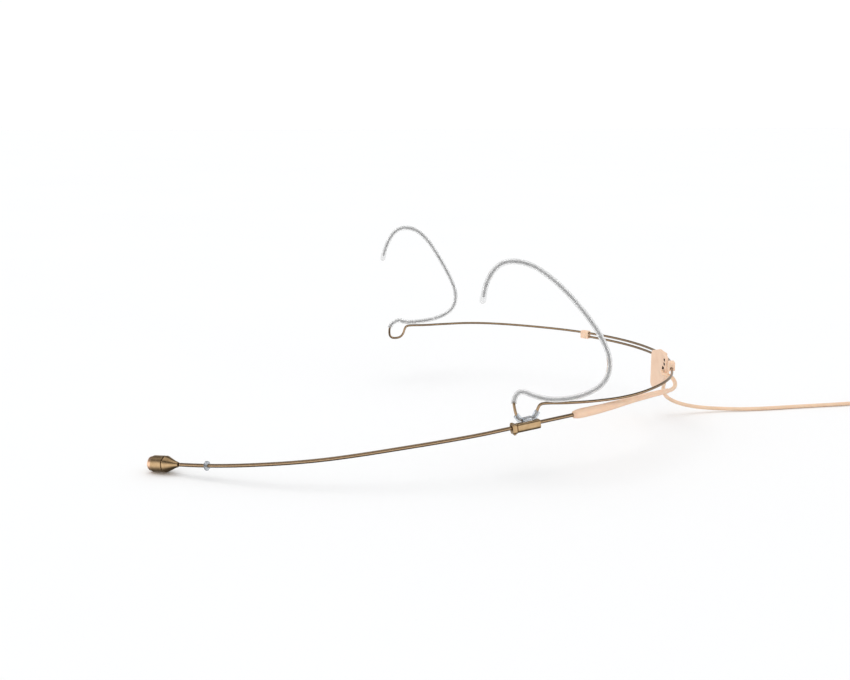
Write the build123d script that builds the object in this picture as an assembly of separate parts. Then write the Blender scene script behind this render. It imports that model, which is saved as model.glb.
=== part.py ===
"""Dual-ear headset microphone: wire frame, ear hooks, boom, capsule, neck plate and cable.

Millimetres. The wearer faces -X, the left ear is on the -Y side and +Z is up.
The origin is midway between the two points where the ear hooks rest on the ears.
"""
from build123d import *
from math import cos, degrees, pi, radians, sin, tan
import os

os.makedirs("parts", exist_ok=True)

# ---- driving dimensions -------------------------------------------------------------
surface_z = -65.5            # height of the table under the capsule and the cable

wire_d = 0.9                 # bent frame wire
ear_tube_d = 1.8             # soft tube over each ear hook
ear_tube_bore = 1.02
tip_cover = 1.4              # the ear tube goes on past the end of the wire

band_radius = 92.0           # rear arc on which the two frame halves telescope
band_x = -14.6               # centre of that arc
band_z = -41.25              # height of the upper wire at the middle of the arc
band_tilt = 1.70             # degrees, the arc rises towards the left ear
wire_gap = 1.5               # lower wire below the upper wire
band_end = 33.0              # degrees from the middle to where the side bends start
left_slider_at = -25.7       # degrees along the arc, holds the end of the right wire
right_slider_at = 21.8       # degrees along the arc, holds the end of the left wire
slider_length = 4.0
slider_height = 3.3
slider_depth = 2.4
run_clear = 0.10             # radial running clearance of a wire in a bore

plate_mid = -26.6            # mm along the arc from its middle, positive to the right ear
plate_z = 20.0 + surface_z
plate_thick = 1.0
plate_round = 0.32
plate_inner = 90.35          # radius of the plate's inner face about the arc's centre

boom_d = 1.2
boom_front = Vector(-16.5, -72.70, 15.55 + surface_z)   # where the boom's straight part starts
boom_rear = Vector(17.5, -73.05, 19.85 + surface_z)     # end of the boom tube, in the sleeve
holder_start = 10.4           # mm along the boom's straight part
holder_length = 9.4
holder_width = 2.5
holder_height = 2.95
holder_drop = 0.39           # the boom runs this much above the middle of the holder
collar_length = 1.5
collar_gap = 0.2

capsule_d = 5.4
capsule_length = 10.6
cone_length = 4.2
cap_start = 5.1             # the removable cap covers the barrel from here forwards
capsule_wall = 0.3

cable_d = 1.4
coil_radius = 8.2            # to the middle of the turns
coil_columns = 6             # turns side by side
coil_layers = 4              # turns on top of each other
turn_pitch = 1.45
coil_centre = Vector(173.0, -39.1, 0)
coil_lift = 0.45

nut_d = 6.0


# ---- helpers ------------------------------------------------------------------------
def above(x, y, height):
    """A point given by its height over the table."""
    return Vector(x, y, height + surface_z)


def corner_radii(points, share):
    """Largest radius that each corner's two runs allow, using that share of the shorter run."""
    radii = []
    for before, corner, after in zip(points, points[1:], points[2:]):
        run_in = corner - before
        run_out = after - corner
        turn = radians(run_in.get_angle(run_out))
        shorter = min(run_in.length, run_out.length)
        radii.append(share * shorter / tan(turn / 2))
    return radii


def smooth_path(points, share=0.49):
    """Straight runs joined by tangent arcs."""
    return FilletPolyline(*points, radius=corner_radii(points, share)).wire()


def rod(path, diameter, bore=0.0):
    """A round bar, or a tube, along a path."""
    start = Plane(origin=path @ 0, z_dir=path % 0)
    section = Circle(diameter / 2)
    if bore:
        section = section - Circle(bore / 2)
    return sweep(start * section, path=path, transition=Transition.RIGHT)


def band_point(angle, radius=band_radius, drop=0.0, up=0.0):
    """A point on the tilted rear arc, angle in degrees from its middle."""
    tilt = radians(band_tilt)
    a = radians(angle)
    across = radius * sin(a)
    lift = up - drop
    x = band_x + radius * cos(a)
    y = across * cos(tilt) + lift * sin(tilt)
    z = band_z - across * sin(tilt) + lift * cos(tilt)
    return Vector(x, y, z)


def band_tangent(angle):
    a = radians(angle)
    tilt = radians(band_tilt)
    return Vector(-sin(a), cos(a) * cos(tilt), -cos(a) * sin(tilt))


def band_plane(angle, drop=0.0):
    """A plane on the rear arc: x outwards, y up, z along the arc towards the left ear."""
    outwards = band_point(angle, radius=1.0) - band_point(angle, radius=0.0)
    return Plane(origin=band_point(angle, drop=drop), x_dir=outwards, z_dir=band_tangent(angle) * -1)


def band_arc(first, last, drop, radius=band_radius):
    middle = (first + last) / 2
    return ThreePointArc(band_point(first, radius, drop), band_point(middle, radius, drop),
                         band_point(last, radius, drop))


def save(part, node, red, green, blue):
    part = Compound(children=[part]) if isinstance(part, list) else part
    part.label = node
    part.color = Color(red, green, blue)
    export_step(part, f"parts/{node}.step")
    print(f"{node}: {part.volume:.2f} mm3")
    return part


BRONZE = (0.42, 0.33, 0.24)
CLEAR = (0.80, 0.84, 0.86)
BEIGE = (0.86, 0.72, 0.60)
DARK = (0.15, 0.15, 0.16)
GOLD = (0.85, 0.68, 0.35)
WHITE = (0.90, 0.90, 0.88)


# ---- wire frame halves ----------------------------------------------------------------
# One ear: hook from its front tip over the ear, back under the lobe, round the small
# open loop and back along the side of the neck. Left side; the right one is its mirror.
hook_points = [
    above(-9.9, -57.2, 56.0),
    above(-8.8, -56.5, 61.2),
    above(-3.7, -57.4, 67.2),
    above(4.6, -60.2, 66.3),
    above(11.6, -64.4, 60.8),
    above(17.7, -69.0, 53.4),
    above(23.9, -72.2, 44.2),
    above(27.6, -72.6, 35.6),
    above(25.6, -72.9, 28.7),
    above(18.4, -73.2, 25.6),
    above(11.8, -73.3, 24.8),
    above(6.8, -72.2, 24.8),
    above(3.1, -69.6, 25.4),
    above(-1.0, -66.6, 27.2),
    above(-4.1, -68.6, 24.7),
]
tube_stop_short = 1.5        # the ear tube ends this far before the middle of the loop's front
loop_points = [
    above(-3.9, -70.5, 20.4),
    above(-2.95, -70.8, 18.9),
    above(-1.5, -71.0, 18.4),
    above(1.1, -71.1, 18.6),
    above(2.6, -71.2, 20.0),
    above(3.2, -71.2, 22.1),
    above(4.1, -71.2, 23.5),
    above(7.0, -71.4, 23.5),
    above(12.0, -71.75, 23.2),
    above(21.0, -72.3, 23.1),
    above(33.0, -71.2, 23.2),
]


def mirrored(points):
    return [Vector(p.X, -p.Y, p.Z) for p in points]


def side_points(points, side, drop):
    """Carry the wire on round the side of the neck to the start of the rear arc."""
    start = side * band_end
    last = band_point(start, drop=drop)
    along = band_tangent(start) * side
    side_run = 9.0
    bend = last + along * side_run
    middle = Vector(45.0, side * 66.9, (bend.Z + points[-1].Z) / 2)
    return points + [middle, bend, last]


def wire_frame(side, drop, last_angle):
    """The bent wire of one side and its part of the rear arc."""
    points = hook_points + loop_points
    points = points if side < 0 else mirrored(points)
    points = side_points(points, side, drop)
    bent = smooth_path(points)
    arc = band_arc(side * band_end, last_angle, drop)
    return rod(bent, wire_d) + rod(Wire([arc]), wire_d)


def ear_tube(side):
    """Soft tube over the hook, closed and rounded at its front tip."""
    radii = corner_radii(hook_points + loop_points[:1], 0.49)
    middle = (hook_points[-1] + loop_points[0]) / 2
    tip_run = (hook_points[0] - hook_points[1]).normalized()
    points = [hook_points[0] + tip_run * tip_cover] + hook_points[1:] + [middle]
    points = points if side < 0 else mirrored(points)
    path = FilletPolyline(*points, radius=radii).wire()
    path = path.trim(0, 1 - tube_stop_short / path.length)
    tube = rod(path, ear_tube_d, ear_tube_bore)
    tip = points[0]
    inwards = (points[1] - tip).normalized()
    plug_run = 0.9
    plug = Pos(tip.X, tip.Y, tip.Z) * Sphere(ear_tube_d / 2)
    cut = Plane(origin=tip, z_dir=inwards) * Pos(0, 0, ear_tube_d) * Box(4, 4, 2 * ear_tube_d)
    stopper = Plane(origin=tip, z_dir=inwards) * Pos(0, 0, plug_run / 2) * Cylinder(ear_tube_bore / 2, plug_run)
    return tube + (plug - cut) + stopper


# ---- size sliders -----------------------------------------------------------------------
def slider(angle, fixed_drop, fixed_side, running_drop):
    """Block on both wires: one wire ends in it, the other runs through it."""
    block = band_plane(angle, drop=wire_gap / 2) * Box(slider_depth, slider_height, slider_length)
    block = fillet(block.edges(), 0.55)
    reach = degrees(slider_length / band_radius)
    run = rod(Wire([band_arc(angle - reach, angle + reach, running_drop)]), wire_d + 2 * run_clear)
    socket = rod(Wire([band_arc(angle, angle + fixed_side * reach, fixed_drop)]), wire_d)
    return block - run - socket


# ---- neck plate ---------------------------------------------------------------------------
plate_corners = [            # along the arc towards the right ear, up, rounding
    (-11.0, 6.9, 2.2),
    (-11.0, -0.6, 2.0),
    (-3.5, -3.6, 6.0),
    (8.0, -9.0, 4.0),
    (11.9, -8.6, 2.0),
    (11.9, 5.0, 2.2),
    (2.0, 7.3, 6.0),
]


def plate_outline():
    """Outline of the plate, drawn flat: deep at its far end and narrow at the near one."""
    outline = FilletPolyline(*[(x, y) for x, y, _ in plate_corners],
                             radius=[rounding for _, _, rounding in plate_corners], close=True)
    return make_face(outline.edges())


cable_hole_along = -32.2
cable_hole_z = 20.9 + surface_z
cable_hole_d = 3.0
cable_hole_length = 4.8
slot_along = -34.0
slot_length = 3.2
slot_height = 0.95
boss_along = -21.5
boss_length = 7.0
boss_out = 2.9


def ring_wall(inner, outer, height):
    """Upright ring about the arc's centre, as tall as the plate needs."""
    wall = Cylinder(outer, height) - Cylinder(inner, height)
    return Pos(band_x, 0, plate_z) * wall


def flat_cut(along, height_z, shape):
    """Push a flat shape through the plate at one spot."""
    a = degrees(along / band_radius)
    out = Vector(cos(radians(a)), sin(radians(a)), 0)
    at = Vector(band_x, 0, height_z) + out * (plate_inner - 3)
    face_plane = Plane(origin=at, x_dir=Vector(-out.Y, out.X, 0), z_dir=out)
    return extrude(face_plane * shape, 8)


def neck_plate():
    """Thin curved plate with wire slots, a cable hole and a boss behind that holds the wires."""
    blank = flat_cut(plate_mid, plate_z, plate_outline())
    skin = ring_wall(plate_inner, plate_inner + plate_thick, 40) & blank
    skin = fillet(skin.edges(), plate_round)
    boss_angle = degrees(boss_along / band_radius)
    boss_plane = band_plane(boss_angle, drop=wire_gap / 2)
    boss = boss_plane * Pos(-0.1, 0, 0) * Box(boss_out, wire_gap + 1.9, boss_length)
    boss = fillet(boss.edges(), 0.5)
    hollow = ring_wall(60, plate_inner + plate_thick / 2, 40)
    plate = skin + (boss - hollow)
    reach = degrees(boss_length / band_radius)
    for drop in (0.0, wire_gap):
        bore = band_arc(boss_angle - reach, boss_angle + reach, drop)
        plate -= rod(Wire([bore]), wire_d + 2 * run_clear)
        slot_z = band_point(degrees(slot_along / band_radius), drop=drop).Z
        plate -= flat_cut(slot_along, slot_z, SlotOverall(slot_length, slot_height))
    plate -= flat_cut(cable_hole_along, cable_hole_z, SlotOverall(cable_hole_length, cable_hole_d))
    return plate


# ---- boom holder, clip and sleeve -----------------------------------------------------------
boom_axis = (boom_rear - boom_front).normalized()


def boom_plane(along, drop=0.0):
    """Plane across the boom's straight part: x to the left, y down the side, z to the rear."""
    origin = boom_front + boom_axis * along - Vector(0, 0, drop)
    return Plane(origin=origin, x_dir=Vector(0, -1, 0), z_dir=boom_axis)


def holder_block(start, length, width, height, low_round, high_round):
    """Box with generous lower edges, lying along the boom."""
    plane = boom_plane(start + length / 2, drop=holder_drop)
    block = plane * Box(width, height, length)
    along_edges = block.edges().filter_by(lambda e: abs((e % 0.5).dot(boom_axis)) > 0.9)
    by_height = along_edges.sort_by(Axis.Z)
    block = fillet(by_height[:2], low_round)
    along_edges = block.edges().filter_by(lambda e: abs((e % 0.5).dot(boom_axis)) > 0.9)
    top = along_edges.sort_by(Axis.Z)[-2:]
    block = fillet(top, high_round)
    end_faces = [block.faces().sort_by(Axis.X)[0], block.faces().sort_by(Axis.X)[-1]]
    rims = [edge for face in end_faces for edge in face.edges()]
    return chamfer(rims, 0.12)


def boom_bore(start, length, diameter):
    plane = boom_plane(start + length / 2)
    return plane * Cylinder(diameter / 2, length)


bush_d = 1.9
boom_bore_d = boom_d + 0.14


def boom_holder():
    body_start = holder_start + collar_length + collar_gap
    body_length = holder_length - collar_length - collar_gap
    body = holder_block(body_start, body_length, holder_width, holder_height, 1.05, 0.7)
    neck = boom_bore(body_start - collar_gap, collar_gap, 1.9)
    body = body + neck
    body -= boom_bore(body_start + 1.0, body_length + 2, bush_d)
    body -= boom_bore(body_start - 1.5, 5.0, boom_bore_d + 0.3)
    return body


def holder_collar():
    """End collar with a wide mouth for the boom and four small corner lugs."""
    collar = holder_block(holder_start, collar_length, 2.9, 3.05, 0.8, 0.4)
    lug = 0.3
    for side in (-1, 1):
        for level in (-1, 1):
            at = boom_plane(holder_start + 0.55, drop=holder_drop)
            collar += at * Pos(side * 1.1, level * 1.45, 0) * Cylinder(lug, 0.7)
    collar -= boom_bore(holder_start - 0.5, collar_length + 1, boom_bore_d + 0.3)
    mouth = boom_plane(holder_start + 0.3) * Cone(1.05, 0.75, 0.8)
    return collar - mouth


def friction_bush():
    body_start = holder_start + collar_length + collar_gap
    length = holder_length - collar_length - collar_gap - 1.2
    start = body_start + 1.05
    return boom_bore(start, length, bush_d - 0.04) - boom_bore(start - 1, length + 2, boom_bore_d)


def loop_wire_path():
    return smooth_path(side_points(hook_points + loop_points, -1, wire_gap))


def saddle():
    """Clear bridge that sits on the holder and grips the bottom of the loop."""
    at = above(-0.4, -71.6, 18.8)
    body = Pos(at.X, at.Y, at.Z) * Rot(0, -8, 0) * Box(3.4, 2.2, 1.7)
    body = fillet(body.edges(), 0.4)
    wire = rod(loop_wire_path(), wire_d + 0.04)
    return body - wire - holder_space()


def holder_space():
    """Room for the holder under the clear clip pieces."""
    plane = boom_plane(holder_start + holder_length / 2, drop=holder_drop)
    return plane * Box(holder_width + 0.04, holder_height + 0.04, holder_length + 2)


def clip_sleeves():
    """The two clear sleeves where the loop turns up at the front and at the rear."""
    wire = rod(loop_wire_path(), wire_d + 0.04)
    front = Plane(origin=above(-3.2, -70.7, 19.4), z_dir=Vector(0.6, -0.16, -0.78))
    rear = Plane(origin=above(2.5, -71.2, 20.1), z_dir=Vector(-0.51, 0, -0.86))
    pieces = []
    for place, length in ((front, 2.2), (rear, 2.6)):
        sleeve = place * Cylinder(0.95, length)
        sleeve = fillet(sleeve.edges(), 0.25)
        pieces.append(sleeve - wire - holder_space() - saddle())
    return pieces


sleeve_points = [
    boom_rear - boom_axis * 3.0,
    boom_rear + boom_axis * 5.0,
    above(30.0, -70.8, 20.9),
    above(38.5, -66.3, 20.9),
    above(47.0, -61.8, 20.6),
    above(54.3, -56.8, 19.9),
    above(60.0, -51.9, 18.9),
]
hole_out = Vector(cos(cable_hole_along / band_radius), sin(cable_hole_along / band_radius), 0)
hole_mouth = Vector(band_x, 0, cable_hole_z) + hole_out * (plate_inner + plate_thick / 2)
hole_run = hole_out * 1.9 + Vector(0.55, 1.85, 0)
lead_points = [
    above(60.0, -51.9, 18.9),
    above(64.7, -47.86, 18.07),
    above(68.2, -43.8, 19.0),
    above(68.2, -40.6, 21.0),
    above(66.9, -37.0, 21.0),
    hole_mouth - hole_run,
    hole_mouth,
]


def strain_sleeve():
    """Soft tapered sleeve from the end of the boom back along the neckband."""
    path = smooth_path(sleeve_points)
    sizes = [(0.0, 2.3), (0.02, 2.7), (0.05, 3.05), (0.12, 3.0), (0.3, 2.55), (0.55, 2.2), (0.8, 1.9), (1.0, 1.75)]
    body = None
    last = None
    for share, size in sizes:
        plane = Plane(origin=path @ share, z_dir=path % share)
        ring = plane * Circle(size / 2)
        if last is not None:
            piece = loft([last, ring])
            body = piece if body is None else body + piece
        last = ring
    socket = boom_plane((boom_rear - boom_front).length) * Cylinder(boom_bore_d / 2 + 0.32, 20)
    return body - socket


def tail_ferrule():
    """Thin ferrule in the mouth of the sleeve, in which the boom's end turns."""
    overlap = 2.8
    start = (boom_rear - boom_front).length - overlap
    ferrule = boom_bore(start, overlap + 3.2, boom_bore_d + 0.6)
    return ferrule - boom_bore(start - 0.5, overlap + 0.9, boom_bore_d)


# ---- boom and capsule ----------------------------------------------------------------------
boom_points = [
    above(-104.1, -35.4, 3.45),
    above(-97.6, -40.9, 4.1),
    above(-90.0, -46.9, 5.1),
    above(-82.0, -52.8, 6.4),
    above(-73.0, -58.2, 7.7),
    above(-63.0, -62.4, 9.0),
    above(-52.0, -66.1, 10.7),
    above(-40.0, -69.1, 12.5),
    above(-28.0, -71.4, 14.1),
]
capsule_rear = boom_points[0]
capsule_dir = (boom_points[0] - boom_points[1]).normalized()
capsule_plane = Plane(origin=capsule_rear, x_dir=Vector(0, 0, 1).cross(capsule_dir), z_dir=capsule_dir)


def boom_tube():
    start = capsule_rear + capsule_dir * 1.6
    points = [start] + boom_points[1:] + [boom_front, boom_rear]
    return rod(smooth_path(points), boom_d)


def drip_ring():
    """Clear soft ring on the boom, behind the capsule."""
    mid = boom_points[1] + (boom_points[2] - boom_points[1]) * 0.21
    along = (boom_points[1] - boom_points[2]).normalized()
    ring = Plane(origin=mid, z_dir=along) * Cylinder(1.55, 0.85)
    ring = fillet(ring.edges(), 0.3)
    return ring - Plane(origin=mid, z_dir=along) * Cylinder(boom_d / 2 + 0.03, 5)


def turned(*profile):
    """Solid of revolution about the capsule's axis from (radius, distance) points."""
    face = make_face(Polyline(*[(r, 0, u) for r, u in profile], close=True).edges())
    return capsule_plane * revolve(face, Axis.Z)


def disc(radius, start, length, bore=0.0):
    solid = Pos(0, 0, start + length / 2) * Cylinder(radius, length)
    if bore:
        solid -= Pos(0, 0, start + length / 2) * Cylinder(bore, length + 1)
    return capsule_plane * solid


def capsule_body():
    """Rear half of the barrel and its cone, bored for the boom."""
    r = capsule_d / 2
    wall = r - capsule_wall
    bore = boom_d / 2 + 0.02
    lip = 0.35
    return turned((bore, 0), (0.70, 0), (r - 0.12, cone_length - 0.1), (r, cone_length + 0.25),
                  (r, cap_start - 0.35), (wall - 0.02, cap_start - 0.35), (wall - 0.02, cap_start + lip),
                  (wall - 0.2, cap_start + lip), (wall - 0.2, cone_length + 0.2), (0.95, 1.7), (bore, 1.7))


def capsule_cap():
    """Removable front shell with a narrower rounded nose and an open front."""
    r = capsule_d / 2
    front = capsule_length
    inside = r - capsule_wall + 0.05
    return turned((inside, cap_start), (r - 0.08, cap_start), (r, cap_start + 0.1), (r, front - 1.6),
                  (r - 0.10, front - 1.5), (r - 0.32, front - 1.5), (r - 0.32, front - 0.6),
                  (r - 0.48, front - 0.2), (r - 0.85, front), (r - 0.95, front),
                  (r - 0.95, front - 0.55), (r - 0.65, front - 0.75), (r - 0.65, front - 1.8),
                  (inside, front - 1.8))


def front_grille():
    """Perforated disc in the cap's front opening."""
    radius = capsule_d / 2 - 0.95
    grille = Pos(0, 0, capsule_length - 0.3) * Cylinder(radius, 0.25)
    holes = []
    for ring, count in ((0.45, 6), (0.95, 12), (1.42, 18)):
        for k in range(count):
            a = 2 * pi * k / count
            holes.append(Pos(ring * cos(a), ring * sin(a), capsule_length - 0.3) * Cylinder(0.13, 1))
    return capsule_plane * (grille - holes)


# ---- cable, coil and plug --------------------------------------------------------------------
lead_end = lead_points[-1]
cable_points = [
    lead_end,
    lead_end + hole_run,
    above(73.4, -27.6, 17.2),
    above(74.3, -24.5, 13.1),
    above(76.9, -20.9, 9.0),
    above(82.4, -18.3, 5.4),
    above(89.3, -18.4, 3.1),
    above(97.2, -18.6, 1.7),
    above(106.0, -20.2, 1.0),
    above(115.5, -22.4, 0.8),
    above(126.0, -23.6, 0.8),
    above(138.0, -24.7, 0.8),
    above(150.0, -26.2, 0.8),
    above(160.0, -27.1, 0.9),
    above(167.5, -27.4, 1.1),
]
tail_points = [
    above(184.8, -44.7, 2.3),
    above(184.95, -48.6, 2.8),
    above(185.1, -52.0, 3.0),
]
plug_plane = Plane(origin=tail_points[-1], x_dir=Vector(1, 0, 0), z_dir=Vector(0, -1, 0))
coil_width = coil_columns * turn_pitch
coil_height = coil_layers * turn_pitch


def cable_coil():
    """Closed solid of the wound turns."""
    section = Pos(coil_radius, 0, 0) * Rot(90, 0, 0) * RectangleRounded(coil_width, coil_height, 1.4)
    at = above(coil_centre.X, coil_centre.Y, coil_lift + coil_height / 2)
    return Pos(at.X, at.Y, at.Z) * revolve(section, Axis.Z)


def cable_tie():
    """Band round the bundle of turns."""
    angle = 300
    outer = RectangleRounded(coil_width + 0.8, coil_height + 0.8, 1.7)
    inner = RectangleRounded(coil_width + 0.06, coil_height + 0.06, 1.42)
    band = extrude(outer - inner, 1.6, both=True)
    at = above(coil_centre.X, coil_centre.Y, coil_lift + coil_height / 2)
    return Pos(at.X, at.Y, at.Z) * Rot(0, 0, angle) * Pos(coil_radius, 0, 0) * Rot(90, 0, 0) * band


def plug_turned(*profile):
    face = make_face(Polyline(*[(r, 0, u) for r, u in profile], close=True).edges())
    return plug_plane * revolve(face, Axis.Z)


def plug_boot():
    return plug_turned((0, 0), (1.05, 0), (2.0, 6.5), (2.0, 8.0), (0, 8.0))


def plug_shell():
    """Metal body: rear barrel, flange for the nut and the inner contact sleeve."""
    return plug_turned((0, 8.02), (2.3, 8.02), (2.3, 12.0), (1.75, 12.0), (1.75, 13.0), (2.15, 13.0),
                       (2.15, 13.8), (1.5, 13.8), (1.5, 17.0), (1.25, 17.0), (1.25, 13.0), (0, 13.0))


def plug_nut():
    """Knurled coupling nut that turns freely on the shell."""
    r = nut_d / 2
    nut = Pos(0, 0, 16.1) * Cylinder(r, 7.8)
    nut = chamfer(nut.edges(), 0.35)
    nut -= Pos(0, 0, 12.5) * Cylinder(1.82, 1.2)
    nut -= Pos(0, 0, 16.8) * Cylinder(2.3, 7.8)
    flutes = 20
    for k in range(flutes):
        nut -= Rot(0, 0, 360 * k / flutes) * Pos(r + 0.12, 0, 15.4) * Cylinder(0.3, 4.2)
    return plug_plane * nut


def plug_insulator():
    return plug_plane * Pos(0, 0, 14.6) * (Cylinder(1.24, 3.1) - Cylinder(0.27, 4))


def plug_pin():
    return plug_plane * Pos(0, 0, 16.15) * Cylinder(0.25, 6.2)


# ---- build --------------------------------------------------------------------------------------
left_end = right_slider_at - degrees(0.6 / band_radius)
right_end = left_slider_at + degrees(0.6 / band_radius)
save(wire_frame(-1, wire_gap, left_end), "left_wire_frame", *BRONZE)
save(wire_frame(1, 0.0, right_end), "right_wire_frame", *BRONZE)
save(ear_tube(-1), "left_ear_tube", *CLEAR)
save(ear_tube(1), "right_ear_tube", *CLEAR)
save(slider(left_slider_at, 0.0, 1, wire_gap), "left_size_slider", *BEIGE)
save(slider(right_slider_at, wire_gap, -1, 0.0), "right_size_slider", *BEIGE)
save(neck_plate(), "neck_plate", *BEIGE)

save(boom_holder(), "boom_holder", *BRONZE)
save(holder_collar(), "holder_collar", *BRONZE)
save(friction_bush(), "friction_bush", *WHITE)
front_clip, rear_clip = clip_sleeves()
save(front_clip, "loop_clip_front", *CLEAR)
save(rear_clip, "loop_clip_rear", *CLEAR)
save(saddle(), "loop_saddle", *CLEAR)
save(strain_sleeve(), "strain_sleeve", *BEIGE)
save(tail_ferrule(), "tail_ferrule", *BRONZE)
save(rod(smooth_path(lead_points), cable_d), "boom_lead", *BEIGE)

save(boom_tube(), "boom_tube", *BRONZE)
save(drip_ring(), "drip_ring", *CLEAR)
save(capsule_body(), "capsule_body", *BRONZE)
save(capsule_cap(), "capsule_cap", *BRONZE)
save(front_grille(), "front_grille", *GOLD)
save(disc(2.16, 5.0, 3.75) - disc(1.92, 5.25, 3.25) - disc(0.8, 8.05, 2), "cartridge_can", *GOLD)
save(disc(1.88, 8.15, 0.35, bore=1.45), "diaphragm_ring", *GOLD)
save(disc(1.88, 8.06, 0.08), "diaphragm", *WHITE)
save(disc(1.60, 7.5, 0.45), "backplate", *GOLD)
save(disc(1.88, 6.6, 1.35, bore=1.62) + disc(1.88, 6.6, 0.8, bore=0.9), "backplate_carrier", *WHITE)
save(disc(1.88, 5.5, 0.5), "preamp_board", *DARK)

save(rod(smooth_path(cable_points, 0.45), cable_d), "free_cable", *BEIGE)
save(cable_coil(), "cable_coil", *BEIGE)
save(cable_tie(), "cable_tie", *DARK)
save(rod(smooth_path(tail_points, 0.45), cable_d), "cable_tail", *BEIGE)
save(plug_boot(), "plug_boot", *DARK)
save(plug_shell(), "plug_shell", *GOLD)
save(plug_nut(), "plug_nut", *GOLD)
save(plug_insulator(), "plug_insulator", *WHITE)
save(plug_pin(), "plug_pin", *GOLD)

for name, points in (("cable", cable_points), ("tail", tail_points)):
    radii = corner_radii(points, 0.45)
    print(name, "radii", [round(r, 1) for r in radii], "length", round(smooth_path(points, 0.45).length, 1))
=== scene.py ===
"""Looks of the headset microphone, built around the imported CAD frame.

Metres, in the row's frame: the wearer faces -X, the left ear is on the -Y side and +Z is up.
Routes are given in millimetres, with heights over the table, and turned into metres by above().
"""
import bpy
import bmesh
from math import cos, degrees, pi, radians, sin
from mathutils import Matrix, Vector


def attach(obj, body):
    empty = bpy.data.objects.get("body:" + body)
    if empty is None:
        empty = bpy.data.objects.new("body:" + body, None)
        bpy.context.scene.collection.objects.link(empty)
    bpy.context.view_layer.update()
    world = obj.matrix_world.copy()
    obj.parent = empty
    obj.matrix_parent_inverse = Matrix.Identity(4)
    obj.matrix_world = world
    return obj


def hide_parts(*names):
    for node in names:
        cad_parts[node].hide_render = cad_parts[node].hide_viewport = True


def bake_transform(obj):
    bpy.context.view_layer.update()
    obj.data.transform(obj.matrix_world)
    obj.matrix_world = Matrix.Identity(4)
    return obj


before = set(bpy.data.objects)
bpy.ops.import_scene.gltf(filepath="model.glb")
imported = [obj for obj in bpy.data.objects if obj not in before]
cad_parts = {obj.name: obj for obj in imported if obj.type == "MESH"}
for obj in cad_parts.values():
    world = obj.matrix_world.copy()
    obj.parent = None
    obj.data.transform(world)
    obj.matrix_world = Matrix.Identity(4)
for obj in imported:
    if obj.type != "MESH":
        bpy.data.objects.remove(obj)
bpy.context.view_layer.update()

MM = 0.001
SURFACE_Z = -65.5            # mm, the table under the capsule and the cable

# The rear arc on which the two frame halves slide. Millimetres unless said otherwise.
BAND_RADIUS = 92.0
BAND_X = -14.6               # centre of the arc
BAND_Z = -41.25              # the upper wire at the middle of the arc
BAND_TILT = radians(1.70)    # the arc rises towards the left ear
WIRE_GAP = 1.5               # lower wire below the upper one
BAND_END = 33.0              # degrees from the middle to where the side bends start
LEFT_SLIDER_AT = -25.7       # degrees
RIGHT_SLIDER_AT = 21.8       # degrees

# Openings of the neck plate. Millimetres, along the arc from its middle.
PLATE_MIDDLE_RADIUS = 90.85  # halfway through the plate's thickness
SLOT_ALONG = -34.0
SLOT_LENGTH = 3.2
SLOT_WIDTH = 0.95
HOLE_ALONG = -32.2
HOLE_HEIGHT = 20.9           # over the table
HOLE_LENGTH = 4.8
HOLE_WIDTH = 3.0
RECESS_SHADE_RIM = 0.02 * MM       # the painted shade reaches this far past the cut, and fades as far again

DOME_STEPS = 6               # rings of the half ball that closes a round bar
WIRE_SIDES = 20


# ---- places and routes -----------------------------------------------------------------
def mm(x, y, z):
    """A point in millimetres of the row's frame, in metres."""
    return Vector((x, y, z)) * MM


def above(x, y, height):
    """A point given by its height over the table, in millimetres."""
    return mm(x, y, height + SURFACE_Z)


def mirrored(points):
    """The same points on the right side."""
    return [Vector((p.x, -p.y, p.z)) for p in points]


def nurbs_curve(name, points, resolution=12):
    """Curve data with one open spline whose control points are the route's points."""
    curve = bpy.data.curves.new(name, "CURVE")
    curve.dimensions = "3D"
    curve.resolution_u = resolution
    spline = curve.splines.new("NURBS")
    spline.points.add(len(points) - 1)
    for control, place in zip(spline.points, points):
        control.co = (*place, 1.0)
    spline.order_u = 3
    spline.use_endpoint_u = True
    return curve


def along_route(points, resolution=12):
    """Points read from the smooth line that a route's control points give."""
    curve = nurbs_curve("route", points, resolution)
    holder = bpy.data.objects.new("route", curve)
    mesh = bpy.data.meshes.new_from_object(holder)
    places = [vertex.co.copy() for vertex in mesh.vertices]
    bpy.data.objects.remove(holder)
    bpy.data.curves.remove(curve)
    bpy.data.meshes.remove(mesh)
    return places


def run_lengths(places):
    """Distance along a line at each of its points."""
    total = 0.0
    lengths = [0.0]
    for before, after in zip(places, places[1:]):
        total += (after - before).length
        lengths.append(total)
    return lengths


def cut_at(places, distance):
    """The first part of a line, up to a distance along it, and the rest."""
    lengths = run_lengths(places)
    for index, length in enumerate(lengths):
        if length > distance:
            share = (distance - lengths[index - 1]) / (length - lengths[index - 1])
            cut = places[index - 1].lerp(places[index], share)
            return places[:index] + [cut], [cut] + places[index:]
    return places, []


# ---- meshes --------------------------------------------------------------------------------
def new_piece(name, mesh, material, body=None, place=None, stands_for=()):
    """Link a mesh as a piece of the object."""
    piece = bpy.data.objects.new(name, mesh)
    bpy.context.scene.collection.objects.link(piece)
    if place is not None:
        piece.matrix_world = place
    materials = material if isinstance(material, list) else [material]
    for each in materials:
        mesh.materials.append(each)
    if body is not None:
        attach(piece, body)
    if stands_for:
        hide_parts(*stands_for)
    return piece


def smooth_between(table, share):
    """Value at a share of the length from (share, value) pairs, eased between them."""
    for (low, first), (high, second) in zip(table, table[1:]):
        if share <= high:
            t = (share - low) / (high - low)
            t = t * t * (3 - 2 * t)
            return first + (second - first) * t
    return table[-1][1]


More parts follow.
